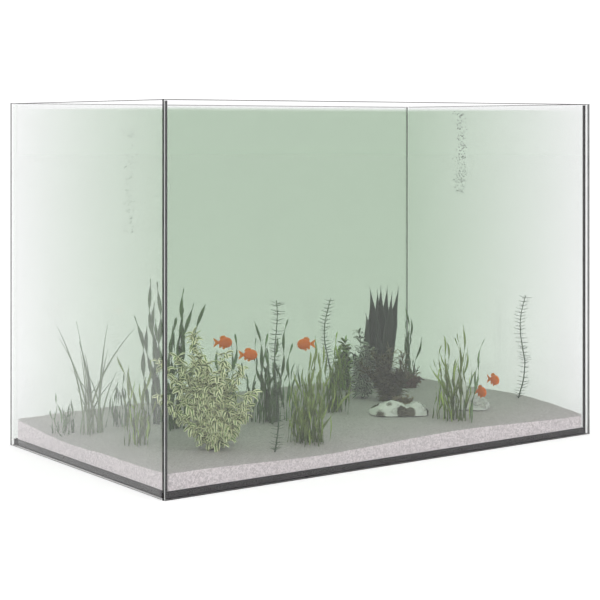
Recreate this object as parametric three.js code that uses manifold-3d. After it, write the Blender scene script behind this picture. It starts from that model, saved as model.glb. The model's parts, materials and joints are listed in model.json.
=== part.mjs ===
// A rimless glass aquarium tank, set up: five glued panes, black silicone seams, a sand bed,
// two stones, rooted water plants and five small fish.
// Millimetres, +Z up. The origin is on the floor under the middle of the tank.
// +X runs along the front pane to the right, and +Y runs from the front pane to the rear pane.

import * as THREE from 'three';
import { mergeVertices } from 'three/addons/utils/BufferGeometryUtils.js';
import Module from 'manifold-3d';

const wasm = await Module();
wasm.setup();

// ---------------------------------------------------------------- driving dimensions

const length = 600;
const depth = 350;
const height = 400;
const glass = 5;            // thickness of every pane
const arris = 0.8;          // polished chamfer round both faces of a pane
const bond = 1;             // silicone between two panes
const fillet = 2.5;         // leg of the silicone bead round the base pane
const cornerFillet = 1.5;   // leg of the silicone bead up an inside corner
const gap = 0.2;            // air left between two touching pieces
const seamInset = 2.5;      // how far a corner's silicone stays in from the pane's outer end
const seamTop = 1.5;        // how far a corner's silicone stays below the rim
const sandLevel = 28;       // usual height of the sand above the floor
const rearRise = 4;         // how much higher the sand lies at the rear pane
const finest = 0.05;        // smaller detail than this is smoothed away where solids are joined
const rootGap = 0.7;        // air left under a plant's crown and under a stone
const sandCells = [16, 9];   // facets of the sand surface along X and Y

const innerX = length / 2 - glass;
const innerY = depth / 2 - glass;
const beadTop = glass + gap + fillet;
const spreadTurn = THREE.MathUtils.degToRad(-36);   // the plants fan out across this direction

const tank = new THREE.Group();
tank.name = 'glass_aquarium_tank';

// ---------------------------------------------------------------- finishes

function finish(color, roughness) {
  return new THREE.MeshStandardMaterial({ color, roughness, metalness: 0 });
}

function clearGlass() {
  const clear = finish(0xe4efe8, 0.03);
  clear.transparent = true;
  clear.opacity = 0.25;
  return clear;
}

function blackSilicone() {
  return finish(0x3a3638, 0.5);
}

function clearSilicone() {
  const clear = finish(0xc8ccc8, 0.4);
  clear.transparent = true;
  clear.opacity = 0.4;
  return clear;
}

// ---------------------------------------------------------------- working with solids

function add(name, geometry, look, { at = [0, 0, 0], turn = 0 } = {}) {
  const mesh = new THREE.Mesh(geometry, look);
  mesh.name = name;
  mesh.position.set(...at);
  mesh.rotation.z = turn;
  tank.add(mesh);
}

function toSolid(geometry) {
  const bare = geometry.clone();
  bare.deleteAttribute('normal');
  bare.deleteAttribute('uv');
  const merged = mergeVertices(bare);
  return new wasm.Manifold(new wasm.Mesh({
    numProp: 3,
    vertProperties: merged.attributes.position.array,
    triVerts: Uint32Array.from(merged.index.array),
  }));
}

function toGeometry(solid) {
  const mesh = solid.getMesh();
  const geometry = new THREE.BufferGeometry();
  geometry.setAttribute('position', new THREE.BufferAttribute(mesh.vertProperties, mesh.numProp));
  geometry.setIndex(new THREE.BufferAttribute(mesh.triVerts, 1));
  geometry.computeVertexNormals();
  return geometry;
}

// The union of several closed geometries, without slivers where they cross.
// A pocket sealed between crossing leaves is filled in.
function join(geometries) {
  const union = geometries.map(toSolid).reduce((whole, piece) => whole.add(piece));
  const shells = union.simplify(finest).decompose();
  return toGeometry(shells.reduce((best, shell) => (shell.volume() > best.volume() ? shell : best)));
}

function boxBetween(low, high) {
  const size = low.map((value, axis) => high[axis] - value);
  const middle = low.map((value, axis) => (value + high[axis]) / 2);
  return new THREE.BoxGeometry(...size).translate(...middle);
}

function outline(points) {
  return new THREE.Shape(points.map(([x, y]) => new THREE.Vector2(x, y)));
}

// ---------------------------------------------------------------- glass panes

// A pane lying flat on the XY plane, with both faces chamfered round the edge.
function flatPane(width, breadth) {
  const x = width / 2 - arris;
  const y = breadth / 2 - arris;
  const face = outline([[-x, -y], [x, -y], [x, y], [-x, y]]);
  const pane = new THREE.ExtrudeGeometry(face, {
    depth: glass - 2 * arris,
    bevelThickness: arris,
    bevelSize: arris,
    bevelSegments: 1,
  });
  return pane.translate(0, 0, arris);
}

function addPanes() {
  add('base_pane', flatPane(2 * (innerX - bond), 2 * (innerY - bond)), clearGlass());

  // The front and rear panes run the full length and cover the ends of the side panes.
  const longPane = flatPane(length, height).rotateX(Math.PI / 2).translate(0, 0, height / 2);
  add('front_pane', longPane, clearGlass(), { at: [0, -innerY, 0] });
  add('rear_pane', longPane.clone(), clearGlass(), { at: [0, depth / 2, 0] });

  const sidePane = flatPane(2 * (innerY - bond), height).rotateX(Math.PI / 2).rotateZ(Math.PI / 2);
  sidePane.translate(0, 0, height / 2);
  add('left_pane', sidePane, clearGlass(), { at: [-length / 2, 0, 0] });
  add('right_pane', sidePane.clone(), clearGlass(), { at: [innerX, 0, 0] });
}

// ---------------------------------------------------------------- silicone seams

// The seam between a side pane's end and a long pane, seen from above: a thin bond, and a hollow
// bead inside the tank. sideX and sideY are -1 or 1 and say which corner it stands in.
function cornerSeam(sideX, sideY) {
  const at = (fromEnd, fromLongPane) => [
    sideX * (length / 2 - fromEnd),
    sideY * (innerY - fromLongPane),
  ];
  const section = new THREE.Shape();
  section.moveTo(...at(seamInset, gap));
  section.lineTo(...at(glass + cornerFillet, gap));
  section.quadraticCurveTo(...at(glass + bond, bond), ...at(glass + gap, bond + cornerFillet));
  section.lineTo(...at(glass + gap, bond - gap));
  section.lineTo(...at(seamInset, bond - gap));
  section.closePath();
  const low = beadTop + gap;
  const seam = new THREE.ExtrudeGeometry(section, {
    depth: height - seamTop - low,
    bevelEnabled: false,
    curveSegments: 2,
  });
  return seam.translate(0, 0, low);
}

// The seam along the base pane's edge at the wall Y = -wall: a bond as deep as the pane's edge,
// and a hollow bead on top of the pane.
function baseSeam({ wall, bondHalf, bondTop, beadHalf }) {
  const strip = boxBetween([-bondHalf, gap - wall, gap], [bondHalf, bond - gap - wall, bondTop]);
  const section = new THREE.Shape();
  section.moveTo(gap, glass + gap);
  section.lineTo(bond + fillet, glass + gap);
  section.quadraticCurveTo(bond, glass + bond, gap, beadTop);
  section.closePath();
  const bead = new THREE.ExtrudeGeometry(section, {
    depth: 2 * beadHalf,
    bevelEnabled: false,
    curveSegments: 2,
  });
  bead.rotateX(Math.PI / 2).rotateZ(Math.PI / 2).translate(-beadHalf, -wall, 0);
  return join([strip, bead]);
}

function addSeams() {
  for (const [end, sideY, look] of [['front', -1, blackSilicone()], ['rear', 1, clearSilicone()]]) {
    for (const [side, sideX] of [['left', -1], ['right', 1]]) {
      add(`corner_seam_${end}_${side}`, cornerSeam(sideX, sideY), look);
    }
  }
  const longSeam = baseSeam({
    wall: innerY,
    bondHalf: length / 2 - seamInset,
    bondTop: beadTop,
    beadHalf: innerX - bond - gap,
  });
  add('base_seam_front', longSeam, blackSilicone());
  add('base_seam_rear', longSeam.clone(), blackSilicone(), { turn: Math.PI });
  const sideSeam = baseSeam({
    wall: innerX,
    bondHalf: innerY - bond,
    bondTop: glass + 2 * gap,
    beadHalf: innerY - bond - fillet - gap,
  });
  add('base_seam_left', sideSeam, blackSilicone(), { turn: -Math.PI / 2 });
  add('base_seam_right', sideSeam.clone(), blackSilicone(), { turn: Math.PI / 2 });
}

// ---------------------------------------------------------------- sand bed

// Height of the sand surface: a gentle rise to the rear, a low ripple behind the front pane that
// dies away to the rear, a mound against the right pane, a hollow in the far right corner and a
// long dip against the left pane.
function sandHeight(x, y) {
  const nearFront = Math.exp(-(y + innerY) / 60);
  const ripple = -4.2 + 2.5 * Math.cos(2 * Math.PI * (x - 95) / 400);
  const hill = (atX, atY, rise, reachX, reachY) => (
    rise * Math.exp(-(((x - atX) / reachX) ** 2) - ((y - atY) / reachY) ** 2)
  );
  const mound = hill(innerX, -65, 4, 80, 80);
  const hollow = hill(innerX, innerY, -3, 120, 120);
  const dip = hill(-innerX, 40, -8, 45, 110) + hill(-innerX, -110, -2.5, 60, 60);
  const slope = rearRise * (y + innerY) / (2 * innerY);
  return sandLevel + slope + nearFront * ripple + mound + hollow + dip;
}

function addSand() {
  const halfX = innerX - gap;
  const halfY = innerY - gap;
  const low = glass + gap;
  const block = new THREE.BoxGeometry(2 * halfX, 2 * halfY, 1, sandCells[0], sandCells[1], 1);
  const position = block.attributes.position;
  for (let i = 0; i < position.count; i += 1) {
    const onTop = position.getZ(i) > 0;
    position.setZ(i, onTop ? sandHeight(position.getX(i), position.getY(i)) : low);
  }
  // Room for the beads along the base and up the corners.
  const clear = bond + fillet + gap;
  const beads = [-1, 1].flatMap((side) => [
    boxBetween([-length, side * innerY - clear, 0], [length, side * innerY + clear, beadTop + gap]),
    boxBetween([side * innerX - clear, -depth, 0], [side * innerX + clear, depth, beadTop + gap]),
    boxBetween([side * innerX - clear, -innerY - clear, 0], [side * innerX + clear, -innerY + clear, height]),
    boxBetween([side * innerX - clear, innerY - clear, 0], [side * innerX + clear, innerY + clear, height]),
  ]);
  const sand = beads.map(toSolid).reduce((rest, bead) => rest.subtract(bead), toSolid(block));
  add('sand_bed', toGeometry(sand), finish(0xc4bcc0, 0.95));
}

// ---------------------------------------------------------------- stones

// A weathered stone made of a few lumps along one line. Each lump is a ball stretched to its
// size, roughened, and flattened where it lies on the sand.
function addStone(name, { at, lumps, roughness, color }) {
  const level = sandHeight(...at);
  const balls = lumps.map(({ along, size }) => {
    const [halfX, halfY, rise] = size;
    const ball = new THREE.IcosahedronGeometry(1, 2);
    const position = ball.attributes.position;
    const point = new THREE.Vector3();
    for (let i = 0; i < position.count; i += 1) {
      point.fromBufferAttribute(position, i);
      const rough = 1 + roughness * Math.sin(5 * point.x + 1) * Math.cos(4 * point.y) * (0.5 + point.z);
      const x = along + point.x * halfX * rough;
      const y = point.y * halfY * rough;
      const worldX = at[0] + x * Math.cos(spreadTurn) - y * Math.sin(spreadTurn);
      const worldY = at[1] + x * Math.sin(spreadTurn) + y * Math.cos(spreadTurn);
      const ground = sandHeight(worldX, worldY) + rootGap - level;
      position.setXYZ(i, x, y, Math.max(point.z * rise * rough + 1, ground));
    }
    return ball;
  });
  add(name, join(balls), finish(color, 0.8), { at: [...at, level], turn: spreadTurn });
}

function addStones() {
  addStone('spotted_stone', {
    at: [92, -64], roughness: 0.12, color: 0xe9f0ea,
    lumps: [{ along: -10, size: [26, 20, 15] }, { along: 20, size: [16, 15, 13] }],
  });
  addStone('white_stone', {
    at: [182, -83], roughness: 0.15, color: 0xd4dcd4,
    lumps: [{ along: -10, size: [16, 12, 44] }, { along: 11, size: [16, 12, 18] }],
  });
}

// ---------------------------------------------------------------- water plants

// A strip that follows a curve: a round bar flattened, bent along the curve and tapered.
function strip(curve, { wide, thick, taper, sides = 4, steps = 3, facing = 0, twist = 0 }) {
  const bar = new THREE.CylinderGeometry(1, 1, 1, sides, steps);
  const position = bar.attributes.position;
  const across = new THREE.Vector3();
  const through = new THREE.Vector3();
  const point = new THREE.Vector3();
  for (let i = 0; i < position.count; i += 1) {
    const along = position.getY(i) + 0.5;
    const tangent = curve.getTangent(along);
    const angle = facing + twist * along;
    across.set(Math.cos(angle), Math.sin(angle), 0);
    across.addScaledVector(tangent, -across.dot(tangent)).normalize();
    through.crossVectors(across, tangent);
    point.copy(curve.getPoint(along));
    point.addScaledVector(across, position.getX(i) * wide * taper(along));
    point.addScaledVector(through, position.getZ(i) * thick * taper(along));
    position.setXYZ(i, point.x, point.y, point.z);
  }
  return bar;
}

const leafTaper = (along) => 0.25 + 0.75 * Math.sin(Math.PI * (0.1 + 0.85 * along));
const grassTaper = (along) => 1 - 0.85 * along;
const budTaper = (along) => 0.15 + 0.85 * Math.sin(Math.PI * (0.04 + 0.88 * along));

// From the crown straight up, then leaning out to the tip.
function leaning(foot, tip, bow) {
  const middle = new THREE.Vector3(
    foot.x + (tip.x - foot.x) * (0.5 - bow),
    foot.y + (tip.y - foot.y) * (0.5 - bow),
    foot.z + (tip.z - foot.z) * 0.55,
  );
  return new THREE.QuadraticBezierCurve3(foot, middle, tip);
}

function crown(radius, rise) {
  const dome = new THREE.CylinderGeometry(radius * 0.8, radius, rise, 6);
  return dome.rotateX(Math.PI / 2).translate(0, 0, rise / 2);
}

// How high a round crown has to stand to clear the sand all round.
function rootLevel([x, y], radius) {
  const around = [0, 1, 2, 3, 4, 5, 6, 7].map((step) => step * Math.PI / 4);
  const heights = around.map((angle) => sandHeight(x + radius * Math.cos(angle), y + radius * Math.sin(angle)));
  return Math.max(sandHeight(x, y), ...heights) + rootGap;
}

// A rooted plant: a low crown, and one strip from it to each tip.
// Tips are [across, away, up] from the crown's foot, in the plant's own turned frame.
function addPlant(name, { at, radius, tips, wide, thick = 0.7, bow = 0.3, twist = 0, taper, sides, steps, color }) {
  const rise = Math.min(6, radius * 0.6);
  // The feet stand in a ring in the order of the tips' bearings, so the strips don't cross.
  const inOrder = [...tips].sort((a, b) => Math.atan2(a[1], a[0]) - Math.atan2(b[1], b[0]));
  const strips = inOrder.map(([across, away, up], index) => {
    const bearing = ((index + 0.5) / tips.length - 0.5) * 2 * Math.PI;
    const foot = new THREE.Vector3(Math.cos(bearing), Math.sin(bearing), 0).multiplyScalar(radius * 0.4);
    foot.z = rise * 0.4;
    const curve = leaning(foot, new THREE.Vector3(across, away, up), bow);
    const facing = (index % 3 - 1) * 0.5;
    return strip(curve, { wide, thick, taper, sides, steps, facing, twist });
  });
  const place = { at: [...at, rootLevel(at, radius)], turn: spreadTurn };
  add(name, join([crown(radius, rise), ...strips]), finish(color, 0.6), place);
}

const tapeGrass = { wide: 2.4, bow: 0.25, twist: 1, steps: 4, taper: leafTaper };
const bushy = { wide: 8, thick: 6, bow: 0.1, taper: budTaper, sides: 4, steps: 3 };

function addTapeGrasses() {
  const dark = 0x5d7158;
  const fresh = 0x7a9158;
  addPlant('tape_grass_low_left', {
    ...tapeGrass, at: [-278, 82], radius: 6, wide: 1.6, color: dark,
    tips: [[-10, -3, 44], [5, 4, 32], [-16, 2, 24], [10, -4, 38]],
  });
  addPlant('tape_grass_low_middle', {
    ...tapeGrass, at: [-218, 61], radius: 8, wide: 1.8, color: dark,
    tips: [[3, 0, 59], [-10, 4, 31], [14, -3, 33], [-4, -6, 43]],
  });
  addPlant('tape_grass_near_left', {
    ...tapeGrass, at: [-247, -33], radius: 10, color: dark,
    tips: [[-22, 3, 94], [-11, -5, 85], [14, 4, 91], [6, -6, 73], [-6, 8, 55], [18, 0, 47]],
  });
  addPlant('tape_grass_tall_left', {
    ...tapeGrass, at: [-176, 47], radius: 11, wide: 3, color: dark,
    tips: [[-11, 2, 166], [-25, -4, 124], [2, -8, 164], [-16, 6, 110], [-4, 8, 138]],
  });
  addPlant('tape_grass_tall_middle', {
    ...tapeGrass, at: [-173, 14], radius: 11, wide: 3, color: dark,
    tips: [[12, 3, 158], [1, -6, 126], [20, -2, 141], [33, 2, 140], [8, 8, 102]],
  });
  addPlant('tape_grass_behind_bush', {
    ...tapeGrass, at: [-106, 4], radius: 8, color: dark,
    tips: [[9, 0, 103], [-15, 3, 83], [1, -6, 69]],
  });
  addPlant('tape_grass_middle', {
    ...tapeGrass, at: [-58, -12], radius: 13, wide: 2.8, color: dark,
    tips: [[-18, 2, 115], [-5, -5, 102], [20, 0, 118], [24, 5, 89], [-24, -4, 75], [6, 8, 95], [-9, 9, 63]],
  });
  addPlant('tape_grass_front', {
    ...tapeGrass, at: [-83, -121], radius: 14, wide: 2.6, color: fresh,
    tips: [[9, 0, 115], [0, 6, 97], [14, -5, 98], [-16, 2, 75], [24, 3, 71], [50, -2, 55], [-8, -7, 57]],
  });
  addPlant('tape_grass_centre', {
    ...tapeGrass, at: [38, -8], radius: 12, color: fresh,
    tips: [[4, 0, 96], [11, 5, 80], [-13, -3, 71], [22, 0, 43], [-4, 7, 55]],
  });
  addPlant('tape_grass_rear_right', {
    ...tapeGrass, at: [263, 123], radius: 8, wide: 2.4, color: dark,
    tips: [[-4, 1, 99], [3, 5, 83], [19, -2, 59], [-9, -6, 63]],
  });
  addPlant('tape_grass_right', {
    ...tapeGrass, at: [126, -122], radius: 14, color: fresh,
    tips: [[14, 0, 111], [-12, 4, 97], [6, -6, 74], [-26, 0, 62], [20, 5, 83], [-6, 8, 89], [-16, -5, 49]],
  });
  addPlant('tape_grass_by_stone', {
    ...tapeGrass, at: [128, -142], radius: 3, wide: 1.6, color: fresh,
    tips: [[22, 0, 97], [17, 3, 71]],
  });
}

function addOtherPlants() {
  addPlant('curved_grass', {
    at: [-256, 56], radius: 8, wide: 1.8, bow: 0.42, taper: grassTaper, color: 0x7f8c74,
    tips: [[-41, 2, 120], [-36, -6, 105], [-19, 5, 124], [18, -2, 121], [47, 3, 115], [17, 6, 91], [-7, -6, 87]],
  });
  addPlant('variegated_bush', {
    ...bushy, at: [-194, -104], radius: 12, color: 0xa9b87c,
    tips: [
      [-26, 0, 124], [-45, 4, 97], [-63, -2, 93], [14, -4, 102], [31, 4, 87], [44, -6, 61],
      [-64, 0, 55], [4, -16, 83], [-24, 16, 83], [34, 10, 34], [-40, -10, 34],
    ],
  });
  addPlant('dark_broadleaf', {
    ...bushy, at: [141, 110], radius: 8, wide: 6, thick: 5, color: 0x4c5f46,
    tips: [[-6, 0, 61], [6, 2, 77], [12, -4, 51], [-4, 8, 43]],
  });
  addPlant('dark_conifer_weed', {
    ...bushy, at: [123, 47], radius: 8, wide: 6, thick: 5, color: 0x5f6b5c,
    tips: [[-4, 0, 83], [-12, 2, 55], [12, -2, 59], [16, 2, 33]],
  });
  addPlant('feather_weed', {
    ...bushy, at: [141, 15], radius: 9, wide: 6, thick: 5, color: 0x5a5a49,
    tips: [[-30, 0, 31], [-18, 5, 43], [0, 0, 49], [17, 4, 43], [27, -3, 26]],
  });
  addPlant('dark_reeds', {
    at: [193, 94], radius: 14, wide: 7, thick: 0.8, bow: 0.2, color: 0x4f5450,
    taper: leafTaper,
    tips: [[-19, 0, 132], [-9, 5, 128], [0, -3, 134], [9, 4, 134], [16, -4, 126], [24, 2, 134], [-24, 2, 96]],
  });
  addPlant('red_weed', {
    ...bushy, at: [226, 79], radius: 8, wide: 4, thick: 3, color: 0x6b4a46,
    tips: [[-17, 0, 10], [17, 2, 10], [-7, 6, 14], [8, -5, 14], [0, 0, 17]],
  });
  addPlant('dry_moss_tuft', {
    ...bushy, at: [125, -32], radius: 6, wide: 3.5, thick: 3, color: 0x8a8468,
    tips: [[-14, 2, 11], [14, 0, 11], [-4, -3, 14], [6, 4, 14]],
  });
}

// A stem weed: one thin swaying stem with a flat whorl of needles at every step.
function addStemWeed(name, { at, sway }) {
  const stem = new THREE.CatmullRomCurve3(sway.map(([across, up]) => new THREE.Vector3(across, 0, up)));
  const whorlStep = 16;
  const count = Math.floor(sway.at(-1)[1] / whorlStep);
  const whorls = Array.from({ length: count }, (_, index) => {
    const point = stem.getPoint((index + 0.5) / count);
    const disc = new THREE.ConeGeometry(7.5, 1.6, 4);
    return disc.rotateX(-Math.PI / 2).rotateZ(index).translate(point.x, point.y, point.z);
  });
  const bar = strip(stem, { wide: 0.9, thick: 0.9, taper: () => 1, sides: 3, steps: 8 });
  const place = { at: [...at, rootLevel(at, 4)], turn: spreadTurn };
  add(name, join([crown(4, 2), bar, ...whorls]), finish(0x4f6150, 0.6), place);
}

function addStemWeeds() {
  addStemWeed('stem_weed_front', {
    at: [-144, -143],
    sway: [[0, 0], [4, 20], [4, 40], [2, 59], [0, 89], [0, 111], [2, 131], [4, 149], [1, 162]],
  });
  addStemWeed('stem_weed_centre', {
    at: [78, 39],
    sway: [[0, 0], [-5, 18], [-8, 32], [-11, 52], [-16, 72], [-17, 94], [-13, 112], [-8, 128]],
  });
  addStemWeed('stem_weed_right', {
    at: [274, -77],
    sway: [[0, 0], [6, 20], [9, 47], [4, 69], [2, 93], [4, 111], [10, 129]],
  });
}

// ---------------------------------------------------------------- fish

// A small deep-bodied fish swimming along +X, with its tail, back and belly fins as thin plates.
function fish(bodyLength) {
  const halfLength = bodyLength * 0.36;
  const halfHeight = bodyLength * 0.26;
  const body = new THREE.SphereGeometry(1, 8, 6).rotateX(Math.PI / 2);
  body.scale(halfLength, bodyLength * 0.1, halfHeight);
  const position = body.attributes.position;
  for (let i = 0; i < position.count; i += 1) {
    const behind = Math.max(0, -position.getX(i) / halfLength);
    position.setZ(i, position.getZ(i) * (1 - 0.55 * behind * behind));
  }
  const finThickness = bodyLength * 0.03;
  const fin = (points) => {
    const scaled = points.map(([x, z]) => [x * bodyLength, z * bodyLength]);
    const plate = new THREE.ExtrudeGeometry(outline(scaled), { depth: finThickness, bevelEnabled: false });
    return plate.rotateX(Math.PI / 2).translate(0, finThickness / 2, 0);
  };
  const tail = fin([[-0.28, 0.05], [-0.55, 0.24], [-0.48, 0], [-0.55, -0.24], [-0.28, -0.05]]);
  const back = fin([[0.14, 0.2], [0.02, 0.38], [-0.22, 0.31], [-0.18, 0.12]]);
  const belly = fin([[0.06, -0.2], [-0.06, -0.38], [-0.2, -0.28], [-0.16, -0.12]]);
  return join([body, tail, back, belly]).translate(bodyLength * 0.095, 0, 0);
}

// heading is the way a fish swims, in degrees anticlockwise from +X.
const shoal = [
  { name: 'fish_1', at: [-136, -29, 129], heading: -30, size: 24 },
  { name: 'fish_2', at: [-124, -62, 118], heading: -30, size: 24 },
  { name: 'fish_3', at: [-32, -47, 121], heading: 160, size: 25 },
  { name: 'fish_4', at: [186, -126, 70], heading: -90, size: 24 },
  { name: 'fish_5', at: [160, -132, 59], heading: -90, size: 24 },
];

function addFish() {
  for (const { name, at, heading, size } of shoal) {
    add(name, fish(size), finish(0xe0742f, 0.45), { at, turn: THREE.MathUtils.degToRad(heading) });
  }
}

addPanes();
addSeams();
addSand();
addStones();
addTapeGrasses();
addOtherPlants();
addStemWeeds();
addFish();

export default tank;
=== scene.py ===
# The look of the planted glass aquarium: clear panes, silicone seams, water, bubbles, sand, stones,
# twisted tape grasses and other water plants, and five orange fish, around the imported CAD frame.
# Metres. The tank stands on the floor at z = 0, with its long front pane towards -Y.

import json
import math
import random

import bmesh
import bpy
from mathutils import Matrix, Vector, noise


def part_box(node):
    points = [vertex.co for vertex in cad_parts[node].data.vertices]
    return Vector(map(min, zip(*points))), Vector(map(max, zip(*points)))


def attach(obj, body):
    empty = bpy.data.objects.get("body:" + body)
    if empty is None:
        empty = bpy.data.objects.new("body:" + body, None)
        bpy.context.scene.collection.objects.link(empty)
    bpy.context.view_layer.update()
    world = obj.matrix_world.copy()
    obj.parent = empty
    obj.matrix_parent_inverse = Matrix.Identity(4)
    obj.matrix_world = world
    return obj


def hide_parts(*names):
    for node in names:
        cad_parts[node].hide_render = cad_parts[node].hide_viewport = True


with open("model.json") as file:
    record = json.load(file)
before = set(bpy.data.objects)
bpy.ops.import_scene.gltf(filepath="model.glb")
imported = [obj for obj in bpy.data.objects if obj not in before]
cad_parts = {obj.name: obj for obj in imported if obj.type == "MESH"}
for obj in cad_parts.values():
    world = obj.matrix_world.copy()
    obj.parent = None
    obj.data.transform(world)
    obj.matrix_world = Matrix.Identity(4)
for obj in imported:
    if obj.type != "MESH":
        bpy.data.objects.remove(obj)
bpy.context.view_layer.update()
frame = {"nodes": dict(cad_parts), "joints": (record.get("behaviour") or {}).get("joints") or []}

MM = 0.001
TANK = "tank"

# ---------------------------------------------------------------- places, from the frame

front_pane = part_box("front_pane")
rear_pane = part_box("rear_pane")
left_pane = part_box("left_pane")
right_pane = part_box("right_pane")
base_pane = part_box("base_pane")

inner_x = right_pane[0].x
inner_y = rear_pane[0].y
rim = front_pane[1].z
base_top = base_pane[1].z
bead_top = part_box("base_seam_front")[1].z
water_level = rim - 7.2 * MM
water_clear = 0.25 * MM         # air left between the water and a pane, too thin to see
sand_clear = 0.2 * MM
root_depth = 1.5 * MM           # how deep set_in_sand sets a foot into the sand
spread_turn = Matrix.Rotation(math.radians(-36), 3, "Z")    # from X to the line that plants fan out on


def sand_height(x, y):
    """The sand surface: it rises to the rear, with a ripple behind the front pane, a mound at the
    right pane, a hollow in the far right corner and a dip at the left pane. In here the heights and
    the reach of a hill are in millimetres."""
    level = 28
    rear_rise = 4
    ripple_crest = 95 * MM
    ripple_length = 400 * MM
    ripple_reach = 60 * MM

    def hill(at_x, at_y, rise, reach_x, reach_y):
        return rise * math.exp(-((x - at_x) / (reach_x * MM)) ** 2 - ((y - at_y) / (reach_y * MM)) ** 2)

    near_front = math.exp(-(y + inner_y) / ripple_reach)
    ripple = -4.2 + 2.5 * math.cos(2 * math.pi * (x - ripple_crest) / ripple_length)
    mound = hill(inner_x, -65 * MM, 4, 80, 80)
    hollow = hill(inner_x, inner_y, -3, 120, 120)
    dip = hill(-inner_x, 40 * MM, -8, 45, 110) + hill(-inner_x, -110 * MM, -2.5, 60, 60)
    slope = rear_rise * (y + inner_y) / (2 * inner_y)
    return (level + slope + near_front * ripple + mound + hollow + dip) * MM


def fan_step(across, away):
    """A level step: so far across, along the line that the plants fan out on, and so far behind it."""
    return spread_turn @ Vector((across, away, 0))


def fan_way(angle):
    """A level direction, turned by angle from the line that the plants fan out on."""
    return fan_step(math.cos(angle), math.sin(angle))


def set_in_sand(foot):
    """Moves the foot of a blade or stem to a little under the sand's surface."""
    foot.z = sand_height(foot.x, foot.y) - root_depth


# ---------------------------------------------------------------- node materials

class Look:
    """A node material being built, with short ways to add the nodes that it needs."""

    def __init__(self, name):
        self.material = bpy.data.materials.new(name)
        self.material.use_nodes = True
        self.tree = self.material.node_tree
        self.tree.nodes.clear()

    def node(self, kind, inputs=None, **settings):
        made = self.tree.nodes.new("ShaderNode" + kind)
        for key, value in settings.items():
            setattr(made, key, value)
        for key, value in (inputs or {}).items():
            self.feed(made.inputs[key], value)
        return made

    def feed(self, socket, value):
        if isinstance(value, bpy.types.NodeSocket):
            self.tree.links.new(value, socket)
        else:
            socket.default_value = value

    def place(self):
        return self.node("TexCoord").outputs["Object"]

    def noise(self, scale, detail=4.0, roughness=0.55, at=None):
        inputs = {"Vector": at or self.place(), "Scale": scale, "Detail": detail, "Roughness": roughness}
        return self.node("TexNoise", inputs).outputs["Fac"]

    def attribute(self, name):
        return self.node("Attribute", attribute_name=name).outputs["Fac"]

    def math(self, operation, first, second=0.0, third=0.0):
        made = self.node("Math", operation=operation)
        for socket, value in zip(made.inputs, (first, second, third)):
            self.feed(socket, value)
        return made.outputs[0]

    def vector(self, operation, *values):
        made = self.node("VectorMath", operation=operation)
        for socket, value in zip(made.inputs, values):
            self.feed(socket, value)
        return made.outputs

    def spread(self, value, low, high, to_low=0.0, to_high=1.0):
        inputs = {"Value": value, "From Min": low, "From Max": high, "To Min": to_low, "To Max": to_high}
        return self.node("MapRange", inputs).outputs[0]

    def mix(self, share, first, second):
        made = self.node("Mix", data_type="RGBA")
        sockets = [made.inputs[0], made.inputs[6], made.inputs[7]]
        for socket, value in zip(sockets, (share, first, second)):
            self.feed(socket, value)
        return made.outputs[2]

    def blend(self, share, first, second):
        """A shader that is second by that share, and first for the rest."""
        made = self.node("MixShader", {0: share})
        self.tree.links.new(first.outputs[0], made.inputs[1])
        self.tree.links.new(second.outputs[0], made.inputs[2])
        return made

    def bump(self, height, strength, distance):
        inputs = {"Height": height, "Strength": strength, "Distance": distance}
        return self.node("Bump", inputs).outputs["Normal"]

    def finish(self, shader, volume=None):
        output = self.node("OutputMaterial")
        self.tree.links.new(shader, output.inputs["Surface"])
        if volume is not None:
            self.tree.links.new(volume, output.inputs["Volume"])
        return self.material


def srgb(red, green, blue):
    """A colour given as 0 to 255 display values, as a linear colour for a socket."""
    def linear(value):
        share = value / 255
        return share / 12.92 if share <= 0.04045 else ((share + 0.055) / 1.055) ** 2.4
    return (linear(red), linear(green), linear(blue), 1.0)


def grey(value):
    return srgb(value, value, value)


def toned(color, share):
    """A colour of display values made darker or lighter by that share, as a linear colour."""
    return srgb(*(min(255, value * share) for value in color))


def mirror_share(look, straight=0.036, power=4.0):
    """How much of the light glass mirrors: little straight on, and all of it at a grazing angle."""
    facing = look.node("LayerWeight", {"Blend": 0.5}).outputs["Facing"]
    grazing = look.math("POWER", facing, power)
    return look.math("MULTIPLY_ADD", grazing, 1 - straight, straight)


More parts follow.
